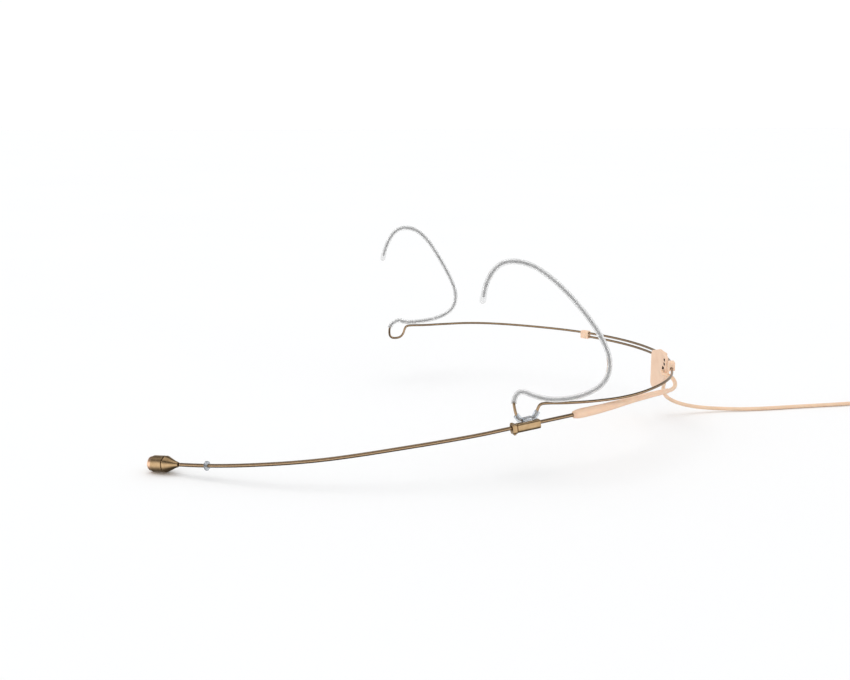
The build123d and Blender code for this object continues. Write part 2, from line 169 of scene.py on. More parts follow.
def skin(name, rings, loop=False):
    """Mesh through rings of points. A ring of one point is a pole; loop joins the last to the first."""
    build = bmesh.new()
    made = [[build.verts.new(place) for place in ring] for ring in rings]
    pairs = list(zip(made, made[1:]))
    if loop:
        pairs.append((made[-1], made[0]))
    for first, second in pairs:
        count = max(len(first), len(second))
        for k in range(count):
            a = first[k % len(first)]
            b = first[(k + 1) % len(first)]
            c = second[(k + 1) % len(second)]
            d = second[k % len(second)]
            corners = [v for i, v in enumerate((a, b, c, d)) if v not in (a, b, c, d)[:i]]
            build.faces.new(corners)
    for ends in (made[0], made[-1]):
        if not loop and len(ends) > 1:
            build.faces.new(ends)
    bmesh.ops.recalc_face_normals(build, faces=build.faces)
    mesh = bpy.data.meshes.new(name)
    build.to_mesh(mesh)
    build.free()
    mesh.shade_smooth()
    return mesh


def frames_along(places):
    """A centre, tangent and untwisted normal at each point of a line."""
    tangents = []
    for index in range(len(places)):
        before = places[max(index - 1, 0)]
        after = places[min(index + 1, len(places) - 1)]
        tangents.append((after - before).normalized())
    normal = tangents[0].orthogonal().normalized()
    frames = []
    last = tangents[0]
    for place, tangent in zip(places, tangents):
        turn = last.rotation_difference(tangent)
        normal = turn @ normal
        normal = (normal - tangent * normal.dot(tangent)).normalized()
        frames.append((place, tangent, normal))
        last = tangent
    return frames


def ring_at(centre, tangent, normal, radius, sides):
    """Points of a circle about a line."""
    side = tangent.cross(normal)
    ring = []
    for k in range(sides):
        angle = 2 * pi * k / sides
        ring.append(centre + (normal * cos(angle) + side * sin(angle)) * radius)
    return ring


def dome_rings(frame_at_end, radius, sides, sign):
    """Rings that close a tube with a half ball; sign is +1 at its far end and -1 at its start."""
    centre, tangent, normal = frame_at_end
    rings = []
    for step in range(1, DOME_STEPS):
        angle = pi / 2 * step / DOME_STEPS
        at = centre + tangent * (sign * radius * sin(angle))
        rings.append(ring_at(at, tangent, normal, radius * cos(angle), sides))
    rings.append([centre + tangent * (sign * radius)])
    return rings


def rod_mesh(name, places, radius, sides, round_ends=(True, True)):
    """Round bar along a line. The radius is a number, or a function of the share of the length."""
    lengths = run_lengths(places)
    size = radius if callable(radius) else (lambda share: radius)
    frames = frames_along(places)
    rings = [ring_at(*each, size(length / lengths[-1]), sides) for each, length in zip(frames, lengths)]
    if round_ends[0]:
        rings = dome_rings(frames[0], size(0.0), sides, -1)[::-1] + rings
    if round_ends[1]:
        rings = rings + dome_rings(frames[-1], size(1.0), sides, 1)
    return skin(name, rings)


def rounded(profile, radius, steps=4):
    """Round every corner of a closed (radius, distance) profile by up to that much."""
    points = [Vector(p) for p in profile]
    out = []
    count = len(points)
    for index, corner in enumerate(points):
        before = points[index - 1] - corner
        after = points[(index + 1) % count] - corner
        reach = min(radius, 0.45 * before.length, 0.45 * after.length)
        start = corner + before.normalized() * reach
        end = corner + after.normalized() * reach
        for step in range(steps + 1):
            t = step / steps
            out.append(start.lerp(corner, t).lerp(corner.lerp(end, t), t))
    return out


def lathe_mesh(name, profile, sides=72):
    """Turn a closed (radius, distance) profile about Z. It stays clear of the axis."""
    up = Vector((0, 0, 1))
    across = Vector((1, 0, 0))
    rings = [ring_at(up * distance, up, across, radius, sides) for radius, distance in profile]
    return skin(name, rings, loop=True)


def sharpen(piece):
    """Flat faces keep their own normals beside small rounds."""
    weighted = piece.modifiers.new("weighted", "WEIGHTED_NORMAL")
    weighted.weight = 60
    weighted.keep_sharp = True


# ---- materials -------------------------------------------------------------------------------
class Shader:
    """Short way to write a material's node tree."""

    def __init__(self, name):
        self.material = bpy.data.materials.new(name)
        self.material.use_nodes = True
        self.tree = self.material.node_tree
        self.main = self.tree.nodes["Principled BSDF"]

    def node(self, kind, settings=None, **inputs):
        """A new node. An underscore in the name of an input stands for a space."""
        made = self.tree.nodes.new(kind)
        for key, value in (settings or {}).items():
            setattr(made, key, value)
        for key, value in inputs.items():
            self.feed(made, key.replace("_", " "), value)
        return made

    def feed(self, node, socket, value):
        """Put a constant or another node's output on a socket."""
        if isinstance(value, bpy.types.NodeSocket):
            self.tree.links.new(value, node.inputs[socket])
        else:
            node.inputs[socket].default_value = value

    def surface(self, **inputs):
        """Put constants or outputs on the sockets of the main surface shader."""
        for key, value in inputs.items():
            self.feed(self.main, key.replace("_", " "), value)

    def position(self, stretch=(1, 1, 1)):
        """Coordinates in the piece's own frame, in metres, stretched along its axes."""
        coordinates = self.node("ShaderNodeTexCoord")
        mapping = self.node("ShaderNodeMapping", Scale=stretch)
        self.tree.links.new(coordinates.outputs["Object"], mapping.inputs["Vector"])
        return mapping.outputs["Vector"]

    def noise(self, vector, scale, detail=4.0):
        """Soft noise, mostly between 0.3 and 0.7."""
        made = self.node("ShaderNodeTexNoise", Vector=vector, Scale=scale, Detail=detail, Roughness=0.55)
        return made.outputs["Fac"]

    def spread(self, value, low, high, start=0.3, end=0.7):
        """Stretch the middle of a noise value, or another given part, on to a range."""
        made = self.node("ShaderNodeMapRange", Value=value, From_Min=start, From_Max=end,
                         To_Min=low, To_Max=high)
        return made.outputs["Result"]

    def blend(self, factor, first, second):
        """Mix two colours by a factor."""
        made = self.node("ShaderNodeMix", {"data_type": "RGBA"})
        self.tree.links.new(factor, made.inputs["Factor"])
        made.inputs[6].default_value = (*first, 1.0)
        made.inputs[7].default_value = (*second, 1.0)
        return made.outputs[2]

    def cover(self, factor, below, colour):
        """Lay a colour over another node's colour where the factor is 1."""
        made = self.node("ShaderNodeMix", {"data_type": "RGBA"}, Factor=factor)
        self.tree.links.new(below, made.inputs[6])
        made.inputs[7].default_value = (*colour, 1.0)
        return made.outputs[2]

    def vector_step(self, operation, vector, second=(0.0, 0.0, 0.0)):
        """One vector operation on a vector and a constant."""
        made = self.node("ShaderNodeVectorMath", {"operation": operation})
        self.tree.links.new(vector, made.inputs[0])
        made.inputs[1].default_value = second
        return made.outputs["Vector"]

    def bump(self, height, strength, distance):
        """Surface normals for a relief of the given height."""
        made = self.node("ShaderNodeBump", Height=height, Strength=strength, Distance=distance)
        return made.outputs["Normal"]


def finish_bronze(s, nose=None):
    """Satin bronze lacquer with fine turned lines and faint mottling. A paler pinkish tone is painted over
    the nose mask as a painted highlight.
    """
    cloud = s.noise(s.position(), 900.0)
    lines = s.noise(s.position((60.0, 60.0, 9000.0)), 1.0, 3.0)
    colour = s.blend(s.spread(cloud, 0.0, 1.0), (0.330, 0.220, 0.115), (0.410, 0.285, 0.160))
    if nose is not None:
        # painted highlight: a paler pinkish tone over the nose
        colour = s.cover(nose, colour, (0.62, 0.40, 0.27))
    s.surface(Base_Color=colour, Metallic=1.0, Roughness=s.spread(lines, 0.25, 0.33),
              Normal=s.bump(lines, 0.04, 0.00001))
    return s.material


def bronze_metal():
    """Turned bronze, for the barrel, the holder and the ferrule."""
    return finish_bronze(Shader("bronze_metal"))


def capsule_lacquer():
    """The turned bronze, with a painted highlight: the nose in front of the shoulder is painted a paler
    pinkish tone.
    """
    s = Shader("capsule_lacquer")
    apart = s.node("ShaderNodeSeparateXYZ", Vector=s.position())
    # where the painted highlight on the nose starts, and where it is full
    nose_highlight_from = 9.05 * MM
    nose_highlight_full = 9.25 * MM
    return finish_bronze(s, s.spread(apart.outputs["Z"], 0.0, 1.0, nose_highlight_from, nose_highlight_full))


def bronze_wire():
    """The same lacquer on drawn wire and tube, with grain too fine to show lines."""
    s = Shader("bronze_wire")
    cloud = s.noise(s.position(), 1400.0)
    scratch = s.noise(s.position(), 6000.0, 2.0)
    colour = s.blend(s.spread(cloud, 0.0, 1.0), (0.250, 0.168, 0.100), (0.320, 0.222, 0.135))
    s.surface(Base_Color=colour, Metallic=1.0, Roughness=s.spread(cloud, 0.20, 0.30),
              Normal=s.bump(scratch, 0.06, 0.00001))
    return s.material


def bare_wire():
    """Grey drawn steel, where the wire runs inside the clear tube."""
    s = Shader("bare_wire")
    cloud = s.noise(s.position(), 1800.0)
    colour = s.blend(s.spread(cloud, 0.0, 1.0), (0.30, 0.30, 0.30), (0.40, 0.40, 0.395))
    s.surface(Base_Color=colour, Metallic=0.15, Roughness=s.spread(cloud, 0.45, 0.6))
    return s.material


def clear_silicone():
    """Clear soft tube, a little milky, with a faintly uneven surface."""
    s = Shader("clear_silicone")
    wave = s.noise(s.position(), 500.0, 2.0)
    colour = s.blend(s.spread(wave, 0.0, 1.0), (0.84, 0.84, 0.84), (0.93, 0.93, 0.93))
    s.surface(Base_Color=colour, Roughness=s.spread(wave, 0.08, 0.14), IOR=1.16,
              Transmission_Weight=0.80, Normal=s.bump(wave, 0.03, 0.00002))
    return s.material


def grey_silicone():
    """Smoky soft silicone of the little ring on the boom."""
    s = Shader("grey_silicone")
    wave = s.noise(s.position(), 700.0, 2.0)
    colour = s.blend(s.spread(wave, 0.0, 1.0), (0.50, 0.53, 0.57), (0.64, 0.67, 0.70))
    s.surface(Base_Color=colour, Roughness=s.spread(wave, 0.08, 0.14), IOR=1.20,
              Transmission_Weight=0.75)
    return s.material


def clear_plastic():
    """Hard clear clip plastic."""
    s = Shader("clear_plastic")
    wave = s.noise(s.position(), 700.0, 2.0)
    colour = s.blend(s.spread(wave, 0.0, 1.0), (0.70, 0.76, 0.83), (0.84, 0.88, 0.92))
    s.surface(Base_Color=colour, Roughness=s.spread(wave, 0.03, 0.09), IOR=1.48,
              Transmission_Weight=0.80)
    return s.material


BEIGE_LIGHT = (0.93, 0.66, 0.475)
BEIGE_DARK = (0.86, 0.585, 0.41)


def matt_grain(s, light, dark):
    """Fine matt grain on a shader. Gives its cloudy colour between two tones."""
    cloud = s.noise(s.position(), 220.0)
    grain = s.noise(s.position(), 5200.0, 2.0)
    s.surface(Roughness=s.spread(grain, 0.42, 0.56), Normal=s.bump(grain, 0.10, 0.00003))
    return s.blend(s.spread(cloud, 0.0, 1.0), dark, light)


def beige_plastic(name="beige_plastic", light=BEIGE_LIGHT, dark=BEIGE_DARK):
    """Skin-coloured moulded plastic, a little translucent."""
    s = Shader(name)
    s.surface(Base_Color=matt_grain(s, light, dark), Subsurface_Weight=0.12,
              Subsurface_Radius=(0.0012, 0.0006, 0.0003), Subsurface_Scale=0.6)
    return s.material


def slot_height(drop):
    """Height of a wire where it crosses the slots, in mm of the frame."""
    across = BAND_RADIUS * sin(SLOT_ALONG / BAND_RADIUS)
    return BAND_Z - across * sin(BAND_TILT) - drop * cos(BAND_TILT)


def recess_shade_mask(s, along, height, length, width):
    """Mask of the painted shade: 1 inside a rounded slot cut through the neck plate, 0 elsewhere."""
    angle = along / BAND_RADIUS
    centre = mm(BAND_X + BAND_RADIUS * cos(angle), BAND_RADIUS * sin(angle), height)
    coordinates = s.node("ShaderNodeTexCoord")
    local = s.node("ShaderNodeMapping", {"vector_type": "TEXTURE"}, Location=centre,
                   Rotation=(0, 0, angle), Vector=coordinates.outputs["Object"])
    any_depth = 1.0              # metres, more than the plate is thick, so that depth does not count
    straight_half = (length - width) / 2 * MM
    size = s.vector_step("ABSOLUTE", local.outputs["Vector"])
    over = s.vector_step("SUBTRACT", size, (any_depth, straight_half, 0.0))
    ends = s.vector_step("MAXIMUM", over)
    reach = s.node("ShaderNodeVectorMath", {"operation": "LENGTH"})
    s.tree.links.new(ends, reach.inputs[0])
    edge = width / 2 * MM + RECESS_SHADE_RIM
    return s.spread(reach.outputs["Value"], 1.0, 0.0, edge, edge + RECESS_SHADE_RIM)


def plate_plastic():
    """The beige plastic, with painted shade: near-black brown painted on the walls of the wire slots and
    the cable hole.
    """
    openings = [
        (SLOT_ALONG, slot_height(0.0), SLOT_LENGTH, SLOT_WIDTH),
        (SLOT_ALONG, slot_height(WIRE_GAP), SLOT_LENGTH, SLOT_WIDTH),
        (HOLE_ALONG, HOLE_HEIGHT + SURFACE_Z, HOLE_LENGTH, HOLE_WIDTH),
    ]
    s = Shader("plate_plastic")
    colour = matt_grain(s, BEIGE_LIGHT, BEIGE_DARK)
    for opening in openings:
        # painted shade laid over each opening
        colour = s.cover(recess_shade_mask(s, *opening), colour, (0.030, 0.016, 0.010))
    s.surface(Base_Color=colour)
    return s.material


def dark_rubber():
    """Matt black rubber of the boot and the tie."""
    s = Shader("dark_rubber")
    grain = s.noise(s.position(), 3600.0, 3.0)
    colour = s.blend(s.spread(grain, 0.0, 1.0), (0.014, 0.014, 0.015), (0.030, 0.030, 0.032))
    s.surface(Base_Color=colour, Roughness=s.spread(grain, 0.50, 0.68), Normal=s.bump(grain, 0.2, 0.00004))
    return s.material


def plug_metal():
    """Nickel-plated brass with fine turned lines."""
    s = Shader("plug_metal")
    lines = s.noise(s.position((40.0, 8000.0, 40.0)), 1.0, 3.0)
    colour = s.blend(s.spread(lines, 0.0, 1.0), (0.52, 0.50, 0.47), (0.62, 0.60, 0.57))
    s.surface(Base_Color=colour, Metallic=1.0, Roughness=s.spread(lines, 0.22, 0.36),
              Normal=s.bump(lines, 0.10, 0.00002))
    return s.material


def gold_plate():
    """Thin gold plating."""
    s = Shader("gold_plate")
    cloud = s.noise(s.position(), 1500.0)
    colour = s.blend(s.spread(cloud, 0.0, 1.0), (0.78, 0.54, 0.22), (0.88, 0.64, 0.30))
    s.surface(Base_Color=colour, Metallic=1.0, Roughness=s.spread(cloud, 0.16, 0.28))
    return s.material


def white_plastic():
    """White insulating plastic."""
    s = Shader("white_plastic")
    grain = s.noise(s.position(), 2500.0)
    colour = s.blend(s.spread(grain, 0.0, 1.0), (0.70, 0.69, 0.66), (0.80, 0.79, 0.76))
    s.surface(Base_Color=colour, Roughness=s.spread(grain, 0.4, 0.55))
    return s.material


def circuit_board():
    """Green board of the tiny preamplifier."""
    s = Shader("circuit_board")
    grain = s.noise(s.position(), 3000.0)
    colour = s.blend(s.spread(grain, 0.0, 1.0), (0.010, 0.075, 0.035), (0.020, 0.120, 0.055))
    s.surface(Base_Color=colour, Roughness=s.spread(grain, 0.35, 0.5))
    return s.material


BRONZE = bronze_metal()
CAP = capsule_lacquer()
WIRE = bronze_wire()
BARE = bare_wire()
SILICONE = clear_silicone()
CLEAR = clear_plastic()
GREY_SILICONE = grey_silicone()
BEIGE = beige_plastic()
PLATE = plate_plastic()
JACKET = beige_plastic("beige_jacket", (0.90, 0.655, 0.465), (0.82, 0.58, 0.40))
RUBBER = dark_rubber()
NICKEL = plug_metal()
GOLD = gold_plate()
WHITE = white_plastic()
BOARD = circuit_board()


# ---- camera, floor and light ---------------------------------------------------------------------
FLOOR_HALF = 12.0            # metres
CAMERA_AT = mm(-136.0, -385.65, 45.2)
CAMERA_LOOK = Vector((0.3033, 0.9333, -0.1920))
CAMERA_LENS = 47.86
BRIGHT_SIDE = (-0.45, -0.89, 0.0)    # reflections towards this side of the room are brightest


def studio():
    """Pale floor, soft light from above and the camera."""
    build = bmesh.new()
    for x, y in ((-1, -1), (1, -1), (1, 1), (-1, 1)):
        build.verts.new((x * FLOOR_HALF, y * FLOOR_HALF, SURFACE_Z * MM))
    build.faces.new(build.verts)
    mesh = bpy.data.meshes.new("floor")
    build.to_mesh(mesh)
    build.free()
    floor = bpy.data.objects.new("floor", mesh)
    bpy.context.scene.collection.objects.link(floor)
    s = Shader("floor")
    cloud = s.noise(s.position(), 6.0)
    colour = s.blend(s.spread(cloud, 0.0, 1.0), (0.900, 0.902, 0.905), (0.906, 0.908, 0.911))
    s.surface(Base_Color=colour, Roughness=0.9, Specular_IOR_Level=0.0)
    mesh.materials.append(s.material)
    floor.visible_glossy = False

    sun = bpy.data.lights.new("overhead", "SUN")
    sun.energy = 0.75
    sun.angle = radians(60)
    sun.color = (1.0, 0.985, 0.965)
    lamp = bpy.data.objects.new("overhead", sun)
    lamp.rotation_euler = (radians(-6), radians(-8), 0)
    bpy.context.scene.collection.objects.link(lamp)

    camera = bpy.data.cameras.new("camera")
    camera.sensor_width = 36.0
    camera.lens = CAMERA_LENS
    camera.clip_start = 0.01
    camera.clip_end = 60.0
    eye = bpy.data.objects.new("camera", camera)
    eye.location = CAMERA_AT
    eye.rotation_mode = "QUATERNION"
    eye.rotation_quaternion = CAMERA_LOOK.to_track_quat("-Z", "Y")
    bpy.context.scene.collection.objects.link(eye)
    bpy.context.scene.camera = eye


def ramp(nodes, links, value, low, high, first, last):
    """Smooth step of a value from one level to another."""
    made = nodes.new("ShaderNodeMapRange")
    made.interpolation_type = "SMOOTHSTEP"
    links.new(value, made.inputs["Value"])
    made.inputs["From Min"].default_value = low
    made.inputs["From Max"].default_value = high
    made.inputs["To Min"].default_value = first
    made.inputs["To Max"].default_value = last
    return made.outputs["Result"]


def product(nodes, links, first, second):
    """One value times another. The second may be a plain number."""
    made = nodes.new("ShaderNodeMath")
    made.operation = "MULTIPLY"
    links.new(first, made.inputs[0])
    if isinstance(second, float):
        made.inputs[1].default_value = second
    else:
        links.new(second, made.inputs[1])
    return made.outputs[0]


def studio_world():
    """Even white light. Reflections see a long soft light round the front, dark above and below."""
    world = bpy.data.worlds.new("studio")
    bpy.context.scene.world = world
    world.use_nodes = True
    nodes = world.node_tree.nodes
    links = world.node_tree.links
    nodes.clear()
    path = nodes.new("ShaderNodeLightPath")
    coordinates = nodes.new("ShaderNodeTexCoord")
    direction = coordinates.outputs["Generated"]

    seen = nodes.new("ShaderNodeBackground")
    seen.inputs["Color"].default_value = (1.0, 1.0, 1.0, 1.0)
    seen.inputs["Strength"].default_value = 1.02
    dome = nodes.new("ShaderNodeBackground")
    dome.inputs["Color"].default_value = (0.985, 0.992, 1.0, 1.0)
    dome.inputs["Strength"].default_value = 0.88

    apart = nodes.new("ShaderNodeSeparateXYZ")
    links.new(direction, apart.inputs[0])
    height = apart.outputs["Z"]
    facing = nodes.new("ShaderNodeVectorMath")
    facing.operation = "DOT_PRODUCT"
    links.new(direction, facing.inputs[0])
    facing.inputs[1].default_value = BRIGHT_SIDE
    floor_edge = ramp(nodes, links, height, -0.95, -0.10, 0.04, 1.0)
    top_edge = ramp(nodes, links, height, 0.15, 0.72, 1.0, 0.04)
    front = ramp(nodes, links, facing.outputs["Value"], -0.7, 0.1, 0.40, 1.0)
    band = product(nodes, links, product(nodes, links, floor_edge, top_edge), front)
    power = nodes.new("ShaderNodeMath")
    power.operation = "ADD"
    links.new(product(nodes, links, band, 2.3), power.inputs[0])
    power.inputs[1].default_value = 0.07
    mirror = nodes.new("ShaderNodeBackground")
    links.new(power.outputs[0], mirror.inputs["Strength"])

    first = nodes.new("ShaderNodeMixShader")
    links.new(path.outputs["Is Glossy Ray"], first.inputs["Fac"])
    links.new(dome.outputs[0], first.inputs[1])
    links.new(mirror.outputs[0], first.inputs[2])
    straight = nodes.new("ShaderNodeMath")
    straight.operation = "MAXIMUM"
    links.new(path.outputs["Is Camera Ray"], straight.inputs[0])
    links.new(path.outputs["Is Transmission Ray"], straight.inputs[1])
    second = nodes.new("ShaderNodeMixShader")
    links.new(straight.outputs[0], second.inputs["Fac"])
    links.new(first.outputs[0], second.inputs[1])
    links.new(seen.outputs[0], second.inputs[2])
    out = nodes.new("ShaderNodeOutputWorld")
    links.new(second.outputs[0], out.inputs["Surface"])


bpy.context.scene.view_settings.view_transform = "Standard"
studio()
studio_world()


# ---- rear band ------------------------------------------------------------------------------------
WIRE_RADIUS = 0.45 * MM
COVERED_RADIUS = 0.36 * MM    # the bare steel inside the ear tube


def band_point(angle, drop):
    """A point on the tilted rear arc, angle in degrees from its middle, drop in mm below it."""
    a = radians(angle)
    across = BAND_RADIUS * sin(a)
    return mm(BAND_X + BAND_RADIUS * cos(a), across * cos(BAND_TILT) - drop * sin(BAND_TILT),
              BAND_Z - across * sin(BAND_TILT) - drop * cos(BAND_TILT))


def band_tangent(angle):
    """Direction of the arc at an angle, towards the right ear."""
    a = radians(angle)
    return Vector((-sin(a), cos(a) * cos(BAND_TILT), -cos(a) * sin(BAND_TILT)))


# ---- wire frame and ear tubes ----------------------------------------------------------------------
HOOK_POINTS = [
    above(-9.9, -57.2, 56.0),
    above(-8.8, -56.5, 61.2),
    above(-3.7, -57.4, 67.2),
    above(4.6, -60.2, 66.3),
    above(11.6, -64.4, 60.8),
    above(17.7, -69.0, 53.4),
    above(23.9, -72.2, 44.2),
    above(27.6, -72.6, 35.6),
    above(25.6, -72.9, 28.7),
    above(18.4, -73.2, 25.6),
    above(11.8, -73.3, 24.8),
    above(6.8, -72.2, 24.8),
    above(3.1, -69.6, 25.4),
    above(-1.0, -66.6, 27.2),
    above(-4.1, -68.6, 24.7),
]
LOOP_POINTS = [
    above(-3.9, -70.5, 20.4),
    above(-2.95, -70.8, 18.9),
    above(-1.5, -71.0, 18.4),
    above(1.1, -71.1, 18.6),
    above(2.6, -71.2, 20.0),
    above(3.2, -71.2, 22.1),
    above(4.1, -71.2, 23.5),
    above(7.0, -71.4, 23.5),
    above(12.0, -71.75, 23.2),
    above(21.0, -72.3, 23.1),
    above(33.0, -71.2, 23.2),
]
SIDE_BEND = 9.0 * MM         # control point this far straight on from the end of the arc
SIDE_MIDDLE_X = 45.0 * MM    # control point halfway up the side run
SIDE_MIDDLE_Y = 66.9 * MM
TUBE_RADIUS = 0.9 * MM
BORE_RADIUS = 0.49 * MM
TIP_COVER = 1.4 * MM         # the ear tube reaches this far past the start of the wire


def wire_line(side, drop, last_angle):
    """The bent wire of one side, from the hook's tip to its end on the rear arc."""
    points = HOOK_POINTS + LOOP_POINTS
    points = points if side < 0 else mirrored(points)
    start = side * BAND_END
    last = band_point(start, drop)
    bend = last + band_tangent(start) * side * SIDE_BEND
    middle = Vector((SIDE_MIDDLE_X, side * SIDE_MIDDLE_Y, (bend.z + points[-1].z) / 2))
    line = along_route(points + [middle, bend, last], 16)
    steps = int(abs(last_angle - start))
    for step in range(1, steps + 1):
        line.append(band_point(start + (last_angle - start) * step / steps, drop))
    return line


def tube_end(line, side):
    """Distance along the wire at which the ear tube stops, at the top of the loop's front."""
    points = [HOOK_POINTS[-1], LOOP_POINTS[0]]
    points = points if side < 0 else mirrored(points)
    stop = points[0].lerp(points[1], 0.2)
    nearest = min(range(len(line)), key=lambda k: (line[k] - stop).length)
    return run_lengths(line)[nearest]


def ear_tube_mesh(name, line, distance):
    """Thick clear tube over the wire: bore, open rear rim, and a swollen closed tip in front."""
    sides = 28
    covered, _ = cut_at(line, distance)
    tip_run = (covered[0] - covered[1]).normalized()
    ahead = [covered[0] + tip_run * TIP_COVER * k / 4 for k in (4, 3, 2, 1)]
    frames = frames_along(ahead + covered)
    bore_from = 3
    swell = [1.10, 1.13, 1.13, 1.10, 1.06, 1.02]
    rings = [[frames[bore_from][0]]]
    rings += [ring_at(*each, BORE_RADIUS, sides) for each in frames[bore_from + 1:]]
    centre, tangent, normal = frames[-1]
    lip = 0.24 * MM
    middle = (BORE_RADIUS + TUBE_RADIUS) / 2
    half = (TUBE_RADIUS - BORE_RADIUS) / 2
    for step in range(5):
        angle = pi * step / 4
        at = centre + tangent * lip * sin(angle)
        rings.append(ring_at(at, tangent, normal, middle - half * cos(angle), sides))
    outer = []
    for index, each in enumerate(frames):
        outer.append(ring_at(*each, TUBE_RADIUS * (swell[index] if index < len(swell) else 1.0), sides))
    rings += outer[::-1][1:]
    rings += dome_rings(frames[0], TUBE_RADIUS * swell[0], sides, -1)
    return skin(name, rings)


def add_wire_and_tube(side, drop, last_angle, body, word):
    """One half of the neckband: its wire, grey and thinner under the tube, and the clear tube."""
    line = wire_line(side, drop, last_angle)
    stop = tube_end(line, side)
    share = stop / run_lengths(line)[-1]
    sizes = [(0.0, COVERED_RADIUS), (share - 0.012, COVERED_RADIUS), (share - 0.004, WIRE_RADIUS),
             (1.0, WIRE_RADIUS)]
    mesh = rod_mesh(word + "_wire", line, lambda place: smooth_between(sizes, place), WIRE_SIDES)
    new_piece(word + "_wire", mesh, [WIRE, BARE], body, stands_for=[word + "_wire_frame"])
    covered, _ = cut_at(line, stop - 0.3 * MM)
    last_face = (len(covered) + DOME_STEPS - 2) * WIRE_SIDES
    for face in mesh.polygons:
        if face.index < last_face:
            face.material_index = 1
    new_piece(word + "_tube", ear_tube_mesh(word + "_tube", line, stop), SILICONE, body,
              stands_for=[word + "_ear_tube"])


end_inset = degrees(0.6 / BAND_RADIUS)
add_wire_and_tube(-1, WIRE_GAP, RIGHT_SLIDER_AT - end_inset, "left_frame", "left")
add_wire_and_tube(1, 0.0, LEFT_SLIDER_AT + end_inset, "neckband", "right")


# ---- boom, sleeve and lead -------------------------------------------------------------------------
BOOM_FRONT = above(-16.5, -72.70, 15.55)
BOOM_REAR = above(17.5, -73.05, 19.85)
BOOM_AXIS = (BOOM_REAR - BOOM_FRONT).normalized()
BOOM_POINTS = [
    above(-104.1, -35.4, 3.45),
    above(-97.6, -40.9, 4.1),
    above(-90.0, -46.9, 5.1),
    above(-82.0, -52.8, 6.4),
    above(-73.0, -58.2, 7.7),
    above(-63.0, -62.4, 9.0),
    above(-52.0, -66.1, 10.7),
    above(-40.0, -69.1, 12.5),
    above(-28.0, -71.4, 14.1),
]
CAPSULE_DIR = (BOOM_POINTS[0] - BOOM_POINTS[1]).normalized()
HOLE_ANGLE = HOLE_ALONG / BAND_RADIUS    # radians
HOLE_OUT = Vector((cos(HOLE_ANGLE), sin(HOLE_ANGLE), 0))
HOLE_MOUTH = mm(BAND_X, 0, HOLE_HEIGHT + SURFACE_Z) + HOLE_OUT * PLATE_MIDDLE_RADIUS * MM
SLEEVE_POINTS = [
    BOOM_REAR - BOOM_AXIS * 3.0 * MM,
    BOOM_REAR + BOOM_AXIS * 5.0 * MM,
    above(30.0, -70.8, 20.9),
    above(38.5, -66.3, 20.9),
    above(47.0, -61.8, 20.6),
    above(54.3, -56.8, 19.9),
    above(60.0, -51.9, 18.9),
]
HOLE_RUN = HOLE_OUT * 1.9 * MM + mm(0.55, 1.85, 0)
LEAD_POINTS = [
    above(60.0, -51.9, 18.9),
    above(64.7, -47.86, 18.07),
    above(68.2, -43.8, 19.0),
    above(68.2, -40.6, 21.0),
    above(66.9, -37.0, 21.0),
    HOLE_MOUTH - HOLE_RUN,
    HOLE_MOUTH,
]
CABLE_RADIUS = 0.7 * MM
BOOM_RADIUS = 0.6 * MM
BOOM_TRIM = 0.2 * MM         # the drawn tube starts this far behind the capsule's cone
BOOM_STRAIGHT = 6.0 * MM     # control point behind BOOM_FRONT, keeps the tube straight in its bush
SLEEVE_SIZES = [             # share of the length, radius in mm
    (0.0, 1.08),
    (0.010, 1.25),
    (0.028, 1.44),
    (0.055, 1.55),
    (0.12, 1.50),
    (0.25, 1.33),
    (0.42, 1.18),
    (0.60, 1.06),
    (0.80, 0.95),
    (1.0, 0.86),
]


def add_boom():
    """Thin tube from the capsule's cone through the holder and into the sleeve."""
    line = along_route(BOOM_POINTS + [BOOM_FRONT, BOOM_FRONT + BOOM_AXIS * BOOM_STRAIGHT, BOOM_REAR], 16)
    start = line[0] + (line[1] - line[0]).normalized() * BOOM_TRIM
    mesh = rod_mesh("boom", [start] + line[1:], BOOM_RADIUS, 24, (False, False))
    new_piece("boom", mesh, WIRE, "boom", stands_for=["boom_tube"])


def add_sleeve():
    """Soft sleeve that swells behind the boom and thins down to the lead."""
    line = along_route(SLEEVE_POINTS, 12)
    mesh = rod_mesh("sleeve", line, lambda share: smooth_between(SLEEVE_SIZES, share) * MM, 32,
                    (False, True))
    sleeve = new_piece("sleeve", mesh, BEIGE, stands_for=["strain_sleeve"])
    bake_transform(sleeve)


def add_lead():
    """Short cable from the end of the sleeve to the hole in the neck plate."""
    line = along_route(LEAD_POINTS, 12)
    mesh = rod_mesh("lead", line, CABLE_RADIUS, 24)
    lead = new_piece("lead", mesh, JACKET, stands_for=["boom_lead"])
    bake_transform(lead)


add_boom()
add_sleeve()
add_lead()


# ---- capsule -------------------------------------------------------------------------------------------
def capsule_place():
    """Frame of the capsule: Z runs forward along its axis from the end of the boom."""
    x_axis = Vector((0, 0, 1)).cross(CAPSULE_DIR).normalized()
    y_axis = CAPSULE_DIR.cross(x_axis)
    turn = Matrix((x_axis, y_axis, CAPSULE_DIR)).transposed().to_4x4()
    return Matrix.Translation(BOOM_POINTS[0]) @ turn


def turned_piece(name, profile, round_by, material, body, place, node):
    """A lathe-turned metal shell, from a profile in millimetres."""
    points = [(r * MM, u * MM) for r, u in profile]
    mesh = lathe_mesh(name, rounded(points, round_by * MM))
    sharpen(new_piece(name, mesh, material, body, place, [node]))


